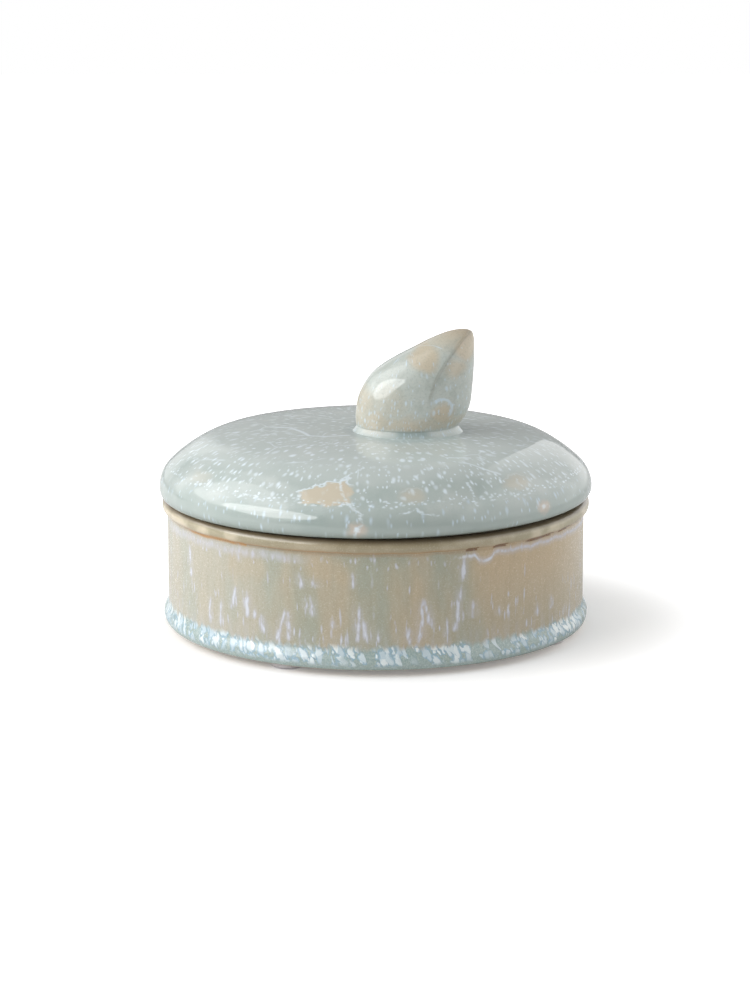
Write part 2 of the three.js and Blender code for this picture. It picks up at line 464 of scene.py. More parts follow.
# %% Layers of a glaze
class GlazeBench(MaskBench):
    """A pot's tree, with a colour that layers are laid on."""

    def __init__(self, name, ground, axis=(0.0, 0.0)):
        super().__init__(name, axis)
        self.colour = ground

    def mix(self, amount, under, over):
        return self.node("ShaderNodeMix", {"data_type": "RGBA"}, {0: amount, 6: under, 7: over}).out(2)

    def lay(self, amount, colour):
        self.colour = self.mix(amount, self.colour, colour)

    def finish(self, roughness, height, height_mm):
        """Sets the finished colour, roughness and relief on the shader."""
        bump = self.node("ShaderNodeBump", None, {"Height": height, "Distance": height_mm * MM})
        for name, wire in (("Base Color", self.colour), ("Roughness", roughness), ("Normal", bump)):
            self.tree.links.new(wire.socket, self.shader.inputs[name])
        print(self.material.name + ":", len(self.tree.nodes), "nodes")
        return self.material


print("glaze bench ready")

# %% [markdown]
# ## The bowl's glaze
# The wall is tan where the glaze is thin and sage where it is thick, in soft upright flames with a fine
# grain. Pale lavender runs thicken towards the foot, where the glaze gathers into white tufts edged with
# blue. On the rim it has pulled thin, and the iron in the clay shows as a broken brown line under the bead.
# The inside has one even coat, and the seat on the rim and the base are bare clay. A painted image would
# blur close up and show a seam. So each of these is a function here, which lays its own colours over those
# before it and gives back the masks that a later layer needs.

# %% Ground of the wall
TAN = tone(177, 166, 143)
PEACH = tone(196, 171, 136)
SAGE = tone(157, 162, 146)
OLIVE = tone(142, 135, 110)
STRAW = tone(208, 200, 182)
PALE_SAGE = tone(188, 190, 181)
WALL_RADIUS = 69.9
# Azimuth and half width in degrees, and how much more sage there is
SAGE_ZONES = ((-26.0, 14.0, 0.1), (0.0, 12.0, 0.16), (20.0, 9.0, 0.16), (52.0, 34.0, -0.14))
# Azimuth, level, reach across, reach up and down, and amount
PEACH_SPOTS = (
    (-36.0, 33.0, 10.0, 6.0, 0.24),
    (-12.0, 34.0, 8.0, 5.0, 0.24),
    (6.0, 31.0, 7.0, 7.0, 0.2),
)


def lay_wall(pot, thin_side):
    """Sage and peach flames on tan, painted light on the left side and right edge, then streaks and grain.
    Gives back the grain.
    """
    flame = pot.warped(pot.chart(WALL_RADIUS, pot.z, drawn=3.0), reach=2.5, length=9.0, seed=2.0)
    sage = pot.noise(flame, length=10.0, detail=2.0, seed=1.3)
    for azimuth, half_width, amount in SAGE_ZONES:
        sage = sage + pot.towards(azimuth, half_width) * amount
    sage = pot.ease(sage, 0.38, 0.78)
    pot.lay(sage * 0.9, SAGE)
    warm = pot.veil(flame, length=13.0, level=0.55, soft=0.14, seed=7.1)
    pot.lay(warm * (1 - sage) * 0.2, PEACH)
    pot.lay(thin_side * pot.ease(pot.z, 12.0, 36.0) * 0.55, PEACH)
    # Painted light: the left side, which faces the soft box, is paler
    pot.lay(pot.towards(-62.0, 45.0, 0.3) * 0.45, PALE_SAGE)
    ragged = pot.drift(flame, length=4.0, detail=2.0, seed=8.2, spread=2.0)
    for azimuth, level, reach, rise, amount in PEACH_SPOTS:
        way = pot.hypot(pot.aside(azimuth, WALL_RADIUS) / reach, (pot.z - level) / rise) + ragged
        pot.lay(pot.ease(way, 1.3, 0.3) * amount, PEACH)
    grain = pot.noise(pot.place, length=0.45, detail=2.0, seed=3.7)
    streak = pot.noise(pot.chart(WALL_RADIUS, pot.z, drawn=6.0), length=1.7, detail=2.0, seed=5.2)
    # Painted reflection of the reflector at the right: the right edge is paler
    pot.lay(pot.towards(82.0, 30.0, 0.2) * 0.35, STRAW)
    pot.lay(pot.ease(grain, 0.5, 0.78) * 0.08, STRAW)
    pot.lay(pot.ease(grain, 0.52, 0.25) * 0.3, OLIVE)
    pot.lay(pot.ease(streak, 0.5, 0.75) * 0.1, STRAW)
    pot.lay(pot.ease(streak, 0.5, 0.25) * 0.14, OLIVE)
    return grain


print("wall:", len(SAGE_ZONES), "sage zones,", len(PEACH_SPOTS), "peach spots")

# %% Runs on the wall
LAVENDER = tone(194, 196, 207)
RUN_WHITE = tone(218, 224, 232)
FROTH_LEVEL = 36.2
# Azimuth and level of a run's top, the same of its foot, and its reach to either side
WALL_RUNS = (
    (-59.4, 34.8, -59.1, 24.6, 0.7), (-38.6, 38.1, -38.3, 34.2, 0.7), (-39.8, 25.8, -41.0, 18.3, 0.8),
    (-35.9, 24.9, -35.7, 16.4, 0.9), (-49.5, 20.0, -49.7, 11.0, 0.7), (-45.0, 20.1, -45.3, 11.4, 0.7),
    (-31.0, 17.9, -30.7, 12.0, 0.8), (-33.2, 20.1, -33.3, 16.5, 0.6), (-23.8, 20.9, -26.5, 10.4, 0.9),
    (-23.8, 20.9, -23.1, 10.9, 1.0), (-20.1, 32.7, -19.6, 28.2, 0.8), (-18.4, 25.4, -18.4, 21.9, 0.7),
    (-16.9, 25.6, -16.6, 19.1, 0.9), (-16.9, 31.1, -16.1, 28.9, 1.2), (-11.1, 18.6, -11.1, 15.7, 0.9),
    (-7.7, 13.9, -7.7, 10.0, 0.7), (-4.3, 23.7, -4.6, 11.8, 1.0), (-3.3, 19.2, -2.0, 11.2, 1.0),
    (-5.8, 33.7, -5.8, 29.2, 0.7), (12.5, 25.0, 11.2, 11.4, 1.0), (12.5, 25.0, 14.4, 15.8, 0.9),
    (23.6, 37.5, 22.9, 30.1, 0.8), (22.5, 28.6, 20.9, 14.1, 0.9), (26.0, 23.2, 26.0, 18.0, 1.0),
    (34.0, 20.0, 34.0, 17.4, 0.8), (18.7, 18.3, 18.4, 12.4, 0.7), (8.6, 16.1, 8.6, 10.9, 0.9),
    (48.0, 18.4, 48.1, 14.4, 0.7), (54.2, 19.2, 54.2, 15.1, 0.6), (0.6, 16.4, 0.6, 11.8, 0.6),
)


def lay_runs(pot, thin_side):
    """The long runs one by one, short ones strewn between them, and froth just under the rim.
    Gives back the runs and the mask that breaks them up."""
    swayed = pot.warped(pot.chart(WALL_RADIUS, pot.z, drawn=5.0), reach=0.8, length=2.5, seed=4.0)
    low = pot.ease(pot.z, 33.0, 15.0)
    cluster = pot.chart(WALL_RADIUS, pot.z, drawn=3.0)
    cluster = pot.veil(cluster, length=5.0, level=0.48, soft=0.1, seed=4.4)
    crowd = low * (cluster * 0.5 + 0.12)
    run = pot.most(
        pot.specks(swayed, pitch=1.7, size=0.44, chance=crowd + 0.08, seed=5.3, core=0.0),
        pot.specks(swayed, pitch=2.8, size=0.4, chance=crowd + 0.04, seed=8.9, core=0.0),
    )
    course = pot.chart(WALL_RADIUS, pot.z, drawn=2.5)
    wavy = pot.round * WALL_RADIUS + pot.drift(course, length=2.4, detail=3.0, seed=1.7, spread=2.6)
    halo = 0.0
    for azimuth, top, foot_azimuth, foot, reach in WALL_RUNS:
        start, _ = pot.on_chart(WALL_RADIUS, [(azimuth, top)])[0]
        lean = math.radians(foot_azimuth - azimuth) * WALL_RADIUS / (top - foot)
        gap = abs(wavy + pot.z * lean - (start + top * lean))
        length = pot.ease(pot.z, top + 1.5, top - 3.5) * pot.ease(pot.z, foot - 1.5, foot + 1.0)
        run = pot.most(run, pot.ease(gap, reach * 1.2, 0.0) * length)
        halo = pot.most(halo, pot.ease(gap, reach * 3.5, 0.0) * length)
    froth = pot.warped(pot.chart(WALL_RADIUS, pot.z, drawn=2.2), reach=0.8, length=1.8, seed=6.0)
    froth = pot.specks(froth, pitch=2.0, size=0.5, chance=cluster * 0.6 + 0.3, seed=2.6, core=0.0)
    froth = froth * pot.near(pot.z, FROTH_LEVEL, 3.4, 0.4)
    broken = pot.noise(pot.chart(WALL_RADIUS, pot.z, drawn=2.6), length=1.2, detail=2.0, seed=9.9)
    broken = pot.ease(broken, 0.34, 0.6)
    run = pot.most(run, froth * 0.8 * (1 - thin_side)) * (broken * 0.75 + 0.25)
    bloom = pot.veil(swayed, length=2.4, level=0.5, soft=0.12, seed=7.3)
    bloom = pot.ease(pot.z, 17.0, 9.0) * bloom * 0.5
    pot.lay(pot.most(halo * 0.7, bloom) * (broken * 0.5 + 0.5) * 0.45, LAVENDER)
    pot.lay(pot.ease(run, 0.03, 0.55) * 0.7, LAVENDER)
    pot.lay(pot.ease(run, 0.4, 1.0) * 0.55, RUN_WHITE)
    return run, broken


print("runs:", len(WALL_RUNS), "long ones")

# %% Rim and its iron line
RIM_TAN = tone(204, 193, 168)
RIM_OLIVE = tone(166, 158, 132)
RIM_FRONT_SHADE = tone(146, 134, 106)
CREASE_TAN = tone(170, 146, 114)
GAP_SHADE_BROWN = tone(92, 76, 56)
IRON_ORANGE = tone(184, 138, 84)
IRON_BROWN = tone(112, 78, 44)
RIM_CREASE = 39.8
# Azimuth and half width in degrees
ORANGE_DASHES = ((-49.0, 12.0), (-37.0, 1.5))
BROWN_DASHES = ((25.5, 1.9), (34.0, 2.4), (48.3, 5.8), (59.8, 3.0))


def lay_rim(pot, grain):
    """The bead, bare of runs, with painted shade of the lid on its front and top, and a broken iron line
    in the crease under it. Gives back the bead.
    """
    bead = pot.ease(pot.z, RIM_CREASE, RIM_CREASE + 0.8)
    patchy = pot.veil(pot.place, length=9.0, level=0.5, soft=0.12, seed=6.6)
    pot.lay(bead, pot.mix(patchy, RIM_TAN, RIM_OLIVE))
    # Painted shade of the lid's overhang on the front of the bead
    pot.lay(bead * pot.towards(2.0, 48.0, 0.4) * 0.6, RIM_FRONT_SHADE)
    pot.lay(bead * pot.ease(grain, 0.5, 0.74) * 0.25, STRAW)
    # Painted shade under the lid's edge: dark brown on the top of the bead
    pot.lay(pot.ease(pot.z, 42.4, 44.0) * 0.85, GAP_SHADE_BROWN)
    shelf = pot.chart(WALL_RADIUS, pot.z, drawn=9.0)
    shelf = pot.z + pot.drift(shelf, length=6.0, detail=1.0, seed=2.2, spread=1.0)
    pot.lay(pot.near(shelf, RIM_CREASE, 1.5) * 0.5, CREASE_TAN)
    behind = pot.ease(pot.y, 0.0, 20.0)
    stretched = pot.chart(WALL_RADIUS, pot.z, drawn=20.0)
    orange = pot.veil(stretched, length=9.0, level=0.58, soft=0.05, seed=3.1) * behind
    brown = pot.veil(stretched, length=6.0, level=0.6, soft=0.03, seed=8.1) * behind
    for azimuth, half_width in ORANGE_DASHES:
        orange = pot.most(orange, pot.towards(azimuth, half_width, 0.7))
    for azimuth, half_width in BROWN_DASHES:
        brown = pot.most(brown, pot.towards(azimuth, half_width, 0.7))
    fine_line = pot.near(shelf, RIM_CREASE + 0.2, 0.5, 0.2) * pot.towards(-25.0, 52.0, 0.8)
    pot.lay(fine_line * 0.5, IRON_ORANGE)
    pot.lay(orange * pot.near(shelf, RIM_CREASE, 1.0) * 0.9, IRON_ORANGE)
    pot.lay(brown * pot.near(shelf, RIM_CREASE + 0.1, 0.9, 0.5) * 0.85, IRON_BROWN)
    return bead


print("iron line:", len(ORANGE_DASHES) + len(BROWN_DASHES), "dashes")

# %% Curtain under the rim
CURTAIN_LEVEL = 37.6
DRIP_AZIMUTH = 29.5
DRIP_LENGTH = 2.0


def lay_curtain(pot, thin_side, broken):
    """White that slid off the rim on one side, with a drip in it, and a blush of it on the other side."""
    fringe = pot.z + pot.towards(DRIP_AZIMUTH, 3.2) * DRIP_LENGTH
    waves = pot.chart(WALL_RADIUS, pot.z, drawn=9.0)
    fringe = fringe + pot.drift(waves, length=4.0, detail=2.0, seed=9.4, spread=2.4)
    hem = pot.near(fringe, CURTAIN_LEVEL, 0.8, 0.1)
    pot.lay(pot.near(fringe, CURTAIN_LEVEL, 2.2, 0.0) * thin_side * 0.35, LAVENDER)
    pot.lay(hem * thin_side * (broken * 0.5 + 0.3), LAVENDER)
    pot.lay(hem * pot.towards(28.0, 9.0, 0.5) * broken * 0.6, RUN_WHITE)
    blush = pot.near(fringe, CURTAIN_LEVEL - 0.4, 2.4, 0.0) * pot.towards(-48.0, 34.0, 0.6)
    pot.lay(blush * (broken * 0.6 + 0.4) * 0.6, LAVENDER)


print("curtain at", CURTAIN_LEVEL, "mm")

# %% Tufts on the foot
TUFT_WHITE = tone(232, 239, 238)
TUFT_BLUE = tone(152, 180, 196)
TUFT_GAP = tone(150, 167, 162)
FOOT_GREY = tone(172, 185, 179)
FOOT_TOP = 9.2
FOOT_WIDEST = 4.4


def lay_foot(pot, grain):
    """White tufts edged with blue, slanted by the way the glaze crept. Gives back the tufts."""
    crept = pot.chart(WALL_RADIUS, pot.z, drawn=1.5, slant=0.35)
    crept = pot.warped(crept, reach=1.1, length=2.2, seed=8.0)
    blotch = pot.veil(pot.chart(WALL_RADIUS, pot.z), length=9.0, level=0.5, soft=0.12, seed=3.3)
    large = pot.cells(crept, pitch=2.8, seed=2.7)
    small = pot.cells(crept, pitch=1.6, seed=6.3)
    rich, _, bright = pot.luck(large)
    swirl = pot.drift(crept, length=0.9, detail=3.0, seed=5.9, spread=0.7)
    tuft = pot.math("MINIMUM", large, small * 1.3) + swirl
    have = pot.ease(rich + blotch * 0.35, 0.15, 0.5)
    edge = pot.chart(WALL_RADIUS, pot.z, drawn=3.0)
    edge = pot.drift(edge, length=2.2, detail=2.0, seed=6.1, spread=5.0)
    outside = pot.ease(pot.radius, 66.5, 67.5)
    band = pot.ease(pot.z + edge, FOOT_TOP + 1.2, FOOT_TOP - 1.2) * outside
    lip = pot.ease(pot.z + edge * 0.3, FOOT_WIDEST - 1.2, FOOT_WIDEST + 0.4) * have
    core = pot.ease(tuft, 0.44, 0.26) * lip * (bright * 0.65 + 0.35)
    foot = pot.mix(pot.ease(grain, 0.35, 0.65), TUFT_GAP, FOOT_GREY)
    foot = pot.mix(pot.ease(tuft, 0.62, 0.44) * (lip * 0.85 + 0.1), foot, TUFT_BLUE)
    pot.lay(band, pot.mix(core, foot, TUFT_WHITE))
    return band * core


print("tufts from", FOOT_WIDEST, "to", FOOT_TOP, "mm")

# %% Inside and bare clay
BARE_CLAY = tone(196, 178, 150)
RING_LEVEL = 2.0
INSIDE_FLOOR = 5.6


def lay_inside(pot, grain):
    """One even coat with spots where it pooled on the floor, and bare clay on the seat and the base.
    Gives back the inside and the bare clay."""
    under = pot.ease(pot.radius, 66.8, 66.0) * pot.ease(pot.z, INSIDE_FLOOR, INSIDE_FLOOR - 0.6)
    seat = pot.ease(pot.radius, 68.6, 68.0) * pot.ease(pot.z, 43.0, 43.6)
    bare = pot.most(pot.ease(pot.z, RING_LEVEL + 0.5, RING_LEVEL + 0.2), under, seat)
    inside = pot.ease(pot.radius, 67.4, 66.6) * pot.ease(pot.z, INSIDE_FLOOR, INSIDE_FLOOR + 0.6)
    coat = pot.veil(pot.place, length=14.0, level=0.5, soft=0.2, seed=5.7)
    pot.lay(inside, pot.mix(coat, PALE_SAGE, SAGE))
    pot.lay(inside * pot.ease(grain, 0.52, 0.25) * 0.3, OLIVE)
    spots = pot.warped(pot.place, reach=0.9, length=3.0, seed=2.1)
    spots = pot.specks(spots, pitch=3.6, size=0.36, chance=0.7, seed=1.6, core=0.1)
    pot.lay(inside * spots * pot.ease(pot.z, 12.0, 9.0) * 0.8, RUN_WHITE)
    pot.lay(bare, BARE_CLAY)
    return inside, bare


print("bare below", RING_LEVEL, "mm")

# %% Glaze of the bowl
THIN_AZIMUTH = 55.0
THIN_HALF_WIDTH = 33.0


def jar_glaze():
    pot = GlazeBench("jar_glaze", TAN)
    thin_side = pot.towards(THIN_AZIMUTH, THIN_HALF_WIDTH, 0.85)
    grain = lay_wall(pot, thin_side)
    run, broken = lay_runs(pot, thin_side)
    bead = lay_rim(pot, grain)
    lay_curtain(pot, thin_side, broken)
    tufts = lay_foot(pot, grain)
    inside, bare = lay_inside(pot, grain)
    relief = run * (1 - inside) * 0.3 + tufts * 0.8 + grain * 0.05
    roughness = pot.ease(grain, 0.3, 0.7) * 0.08 + 0.2 - bead * 0.1 + bare * 0.4
    return pot.finish(roughness, relief, 0.2)


JAR_GLAZE = jar_glaze()

# %% [markdown]
# ## The lid's glaze
# The lid is pale celadon. Its white drops are round on the flat crown and are pulled out into dashes where
# the shoulder falls away, and they end in a row of pearls where the glaze slows down above the smooth belly.
# So the pattern follows the way down the lid, which is the distance from the axis less the height, and not
# the plain height. White veins cross the crown and trickle down the side, and the seat is wiped bare.

# %% Ground of the lid
CELADON = tone(179, 189, 185)
CELADON_DEEP = tone(169, 181, 177)
CELADON_PALE = tone(190, 198, 194)
CROWN_PAINTED_LIGHT = tone(198, 206, 203)
BELLY_GREEN = tone(152, 164, 159)
SHOULDER_RADIUS = 62.0


class LidBench(GlazeBench):
    """The lid's tree, with the way down the lid, the shoulder unrolled along it, and a ragged shore."""

    def __init__(self, name, ground):
        super().__init__(name, ground)
        self.down = self.radius - self.z
        self.side = self.chart(SHOULDER_RADIUS, self.down)
        self.shore = self.down + self.drift(self.side, length=8.0, detail=2.0, seed=2.9, spread=3.0)
        self.ragged = self.drift(self.side, length=3.0, detail=3.0, seed=5.5, spread=1.1)
        self.on_crown = self.ease(self.down, 6.0, -4.0)


def lay_celadon(pot):
    """Clouds and grain of celadon, paler on the crown as painted light, and greener on the belly.
    Gives back the clouds.
    """
    cloud = pot.noise(pot.place, length=12.0, detail=2.0, seed=1.1)
    pot.lay(pot.ease(cloud, 0.5, 0.68), CELADON_PALE)
    pot.lay(pot.ease(cloud, 0.5, 0.32), CELADON_DEEP)
    grain = pot.noise(pot.place, length=0.7, detail=2.0, seed=6.2)
    pot.lay(pot.ease(grain, 0.5, 0.75) * 0.25, CELADON_PALE)
    pot.lay(pot.ease(grain, 0.5, 0.25) * 0.35, CELADON_DEEP)
    # Painted light from above: the crown is paler
    pot.lay(pot.on_crown * 0.6, CROWN_PAINTED_LIGHT)
    pot.lay(pot.ease(pot.down, 15.0, 24.0) * 0.6, BELLY_GREEN)
    return cloud


print("shoulder unrolled at", SHOULDER_RADIUS, "mm")

# %% Tan islands on the shoulder
LID_TAN = tone(208, 196, 174)
# Azimuth, half width in millimetres, top and foot on the way down, slope of the top, and amount
TAN_ISLANDS = (
    (-13.9, 7.4, 2.3, 14.2, 0.5, 0.85),
    (10.0, 3.4, 5.0, 12.5, 0.0, 0.45),
    (43.0, 5.0, 3.5, 11.5, 0.2, 0.45),
    (-57.0, 5.0, 6.0, 13.0, 0.0, 0.25),
    (120.0, 8.0, 2.0, 14.0, 0.3, 0.7),
    (-150.0, 7.0, 3.0, 14.0, -0.3, 0.7),
)
# How square an island is, and how soft its edge
STRONG_ISLAND = (4.0, 0.15)
FAINT_ISLAND = (2.0, 0.6)


def lay_islands(pot):
    """Islands where the glaze has run thin. Gives back them and the white shore along their tops."""
    tan, border = 0.0, 0.0
    for azimuth, half_width, top, foot, slope, amount in TAN_ISLANDS:
        start, _ = pot.on_chart(SHOULDER_RADIUS, [(azimuth, top)])[0]
        across = (pot.round * SHOULDER_RADIUS - start) / half_width
        tall = across * (slope * half_width) + (foot - top)
        along = (foot - pot.shore) / tall * 2 - 1
        square, soft = STRONG_ISLAND if amount > 0.5 else FAINT_ISLAND
        island = pot.math("POWER", abs(across), square) + pot.math("POWER", abs(along), square)
        island = pot.math("POWER", island, 1 / square) + pot.ragged
        tan = pot.most(tan, pot.ease(island, 1 + soft, 1 - soft) * amount)
        upper = pot.ease(along, 0.3, 0.7)
        border = pot.most(border, pot.near(island, 1.08, 0.12, 0.2) * upper * amount**2)
    pot.lay(tan, LID_TAN)
    return tan, border


print("lid:", len(TAN_ISLANDS), "tan islands")

# %% Drops on the lid
DROP_WHITE = tone(228, 239, 246)
RIVULET_BLUE = tone(204, 221, 234)
PEARL_LINE = 13.4
CROWN_CHART = 42.0


def lay_drops(pot, tan, border):
    """Drops, large on the crown, drawn out on the way down, pearls above the belly and rivulets on it."""
    steep = pot.ease(pot.radius, 50.0, 57.0)
    above = pot.ease(pot.shore, PEARL_LINE + 1.0, PEARL_LINE - 1.5)
    flowing = pot.warped(pot.chart(CROWN_CHART, pot.radius, drawn=1.8), reach=0.9, length=3.0, seed=9.0)
    crown_drops = pot.most(
        pot.specks(flowing, pitch=3.2, size=0.4, chance=0.9, seed=7.7, core=0.25),
        pot.specks(flowing, pitch=1.7, size=0.36, chance=0.3, seed=1.9, core=0.1),
    )
    round_drops = pot.warped(pot.place, reach=0.9, length=3.5, seed=3.0)
    round_drops = pot.specks(round_drops, pitch=3.8, size=0.38, chance=0.8, seed=0.4, core=0.1)
    crown_drops = pot.mix(pot.ease(pot.radius, 30.0, 22.0), crown_drops, round_drops)
    drawn = pot.warped(pot.chart(SHOULDER_RADIUS, pot.down, drawn=2.4), reach=0.8, length=2.4, seed=6.0)
    dashes = pot.most(
        pot.specks(drawn, pitch=2.6, size=0.4, chance=0.8, seed=2.2, core=0.15),
        pot.specks(drawn, pitch=1.5, size=0.38, chance=0.3, seed=9.1, core=0.1),
    )
    dashes = dashes * (1 - tan * 0.9) * above
    pearls = pot.warped(pot.side, reach=0.6, length=1.5, seed=3.6)
    pearls = pot.specks(pearls, pitch=2.0, size=0.5, chance=0.8, seed=4.6, core=0.2)
    pearls = pearls * pot.near(pot.shore + pot.ragged * 2.0, PEARL_LINE, 2.6, 0.4)
    sway = pot.warped(pot.chart(SHOULDER_RADIUS, pot.down, drawn=3.2), reach=0.4, length=2.0, seed=7.0)
    rivulets = pot.most(
        pot.specks(sway, pitch=2.3, size=0.4, chance=0.55, seed=3.3, core=0.0),
        pot.specks(sway, pitch=1.5, size=0.36, chance=0.4, seed=5.8, core=0.0),
    )
    drops = pot.most(pot.mix(steep, crown_drops, dashes), pearls, border)
    pot.lay(rivulets * (1 - above) * 0.85, RIVULET_BLUE)
    pot.lay(drops * 0.9, DROP_WHITE)
    return drops


print("pearls", PEARL_LINE, "mm down the lid")

# %% Veins on the lid
# Across and back from the lid's axis
MAIN_VEIN = ((-35, 2), (-28.4, -0.8), (-24.5, -7.6), (-22, -14.5), (-16.5, -15.8), (-9, -14))
CROWN_VEINS = (
    ((22.5, -43.5), (30.1, -42.0)),
    ((28.4, -46.4), (33.9, -48.0), (39.4, -47.9)),
    ((46.8, -35.7), (48.8, -37.2)),
)
# Azimuth in degrees and the way down
SIDE_LINES = (
    ((-21.3, 14.0), (-20.5, 7.2), (-17.6, 4.2), (-14.4, 2.1), (-10.4, 0.2), (-8.0, -4.4), (-4.0, -9.5)),
    ((-10.6, 0.6), (-9.3, 6.8), (-7.6, 13.0), (-4.6, 16.9), (-3.6, 18.9), (-3.6, 22.2), (-4.6, 24.0)),
    ((27.1, 3.6), (27.0, 9.6), (26.9, 16.4)),
    ((5.4, 19.2), (8.0, 17.7), (10.3, 16.0), (11.8, 18.5), (15.6, 19.4)),
    ((-38.5, 15.3), (-36.9, 12.9), (-33.8, 12.7), (-30.6, 14.6)),
    ((-4.9, 24.0), (-5.2, 27.6)),
)


def lay_veins(pot):
    """One thick vein that runs up to the knob, fine ones on the crown, and lines that ran down the side."""
    crown = pot.warped(pot.vector(pot.x, pot.y, 0.0), reach=0.5, length=2.0, seed=4.4)
    crazed = pot.warped(pot.place, reach=4.0, length=12.0, seed=5.0)
    crazed = pot.cells(crazed, pitch=21.0, seed=2.5, feature="DISTANCE_TO_EDGE")
    patchy = pot.veil(pot.place, length=13.0, level=0.52, soft=0.05, seed=8.3)
    veins = pot.ease(crazed, 0.024, 0.006) * patchy * pot.on_crown * 0.6
    veins = pot.most(veins, pot.stroke(crown, MAIN_VEIN, 1.1))
    for line in CROWN_VEINS:
        veins = pot.most(veins, pot.stroke(crown, line, 0.7) * 0.7)
    ragged_side = pot.warped(pot.side, reach=0.9, length=1.6, seed=2.4)
    broken = pot.veil(pot.side, length=2.2, level=0.5, soft=0.1, seed=7.9) * 0.8 + 0.05
    for line in SIDE_LINES:
        trickle = pot.stroke(ragged_side, pot.on_chart(SHOULDER_RADIUS, line), 0.8)
        veins = pot.most(veins, trickle * broken)
    pot.lay(veins * 0.75, DROP_WHITE)
    return veins


print("veins:", len(CROWN_VEINS) + 1, "on the crown,", len(SIDE_LINES), "down the side")

# %% Pool and pinholes on the lid
ROSE = tone(222, 198, 178)
POOL_BLUE = tone(150, 168, 168)
KNOB_AXIS = (10.6, -5.0)
COLLAR_REACH = 18.8
# Azimuth in degrees and the way down
ROSE_SPOTS = ((-4.5, 24.5), (48.0, 22.0))


def lay_pool(pot):
    """Pooled glaze round the knob's collar."""
    knob_x, knob_y, _ = pot.split(pot.vector_math("SUBTRACT", pot.place, (*KNOB_AXIS, 0.0)))
    pool = pot.ease(pot.hypot(knob_x, knob_y), COLLAR_REACH + 4.5, COLLAR_REACH + 0.5)
    pot.lay(pool * pot.ease(pot.z, 60.0, 64.0) * 0.3, POOL_BLUE)


def lay_pinholes(pot, veins):
    """Two rosy pinholes on the belly."""
    crumbling = pot.drift(pot.side, length=1.4, detail=2.0, seed=5.1, spread=3.0)
    for azimuth, level in ROSE_SPOTS:
        way = pot.hypot(pot.aside(azimuth, SHOULDER_RADIUS), pot.down - level) + crumbling
        pot.lay(pot.ease(way, 3.8, 1.0) * 0.5 * (1 - veins), ROSE)
        pot.lay(pot.ease(way, 1.5, 0.3) * 0.6, DROP_WHITE)


print("pinholes:", len(ROSE_SPOTS))

# %% Glaze of the lid
EDGE_SHADE_GREEN = tone(132, 142, 134)
SEAT_LEVEL = 44.4


def lid_glaze():
    pot = LidBench("lid_glaze", CELADON)
    cloud = lay_celadon(pot)
    tan, border = lay_islands(pot)
    drops = lay_drops(pot, tan, border)
    veins = lay_veins(pot)
    lay_pool(pot)
    lay_pinholes(pot, veins)
    # Painted shade darkens the low edge towards the seat, and the seat and the flange under the lid
    # are wiped bare
    pot.lay(pot.ease(pot.z, SEAT_LEVEL + 3.0, SEAT_LEVEL + 0.5) * 0.75, EDGE_SHADE_GREEN)
    bare = pot.ease(pot.radius, 67.9, 67.5) * pot.ease(pot.z, SEAT_LEVEL + 0.4, SEAT_LEVEL + 0.1)
    pot.lay(bare, BARE_CLAY)
    peel = pot.noise(pot.place, length=2.2, detail=1.0, seed=4.4)
    roughness = pot.ease(cloud, 0.3, 0.7) * 0.04 + 0.05 + bare * 0.4
    return pot.finish(roughness, (drops + veins) * 0.25 + peel * 0.2, 0.1)


LID_GLAZE = lid_glaze()

# %% [markdown]
# ## The knob's glaze
# The bud breaks from grey-green to tan wherever it stands proud: at its tip, on its long back and low on its
# belly. A thin painted shade follows the fold down its front. Upright flecks gather towards the collar, which
# is pale, with blue glaze pooled round it, bluer and darker at the front as painted shade. The knob stands
# off the jar's axis, so its tree has an axis of its own.

# %% Tan breaks on the knob
KNOB_GREY = tone(188, 195, 189)
KNOB_TAN = tone(196, 184, 161)
KNOB_SHADE = tone(136, 143, 134)
FOLD_PAINTED_SHADE = tone(132, 130, 114)
TIP_BROWN = tone(184, 154, 122)
# Across from the knob's axis, and height
FOLD_LINE = (
    (7.1, 79.8), (7.5, 80.9), (8.7, 84.7), (10.3, 88.0),
    (12.4, 91.3), (14.8, 94.3), (17.2, 97.0), (20.2, 99.6),
)
# Across from the knob's axis, height, reach and amount
KNOB_ISLANDS = (
    (5.6, 93.2, 5.0, 0.9), (15.2, 89.0, 3.6, 0.8), (19.0, 95.5, 4.5, 1.0), (11.9, 74.3, 4.6, 0.9),
    (-7.0, 77.5, 6.5, 0.35), (-15.0, 77.0, 6.0, 0.65), (-11.0, 71.0, 5.0, 0.7), (1.0, 69.0, 5.0, 0.8),
)


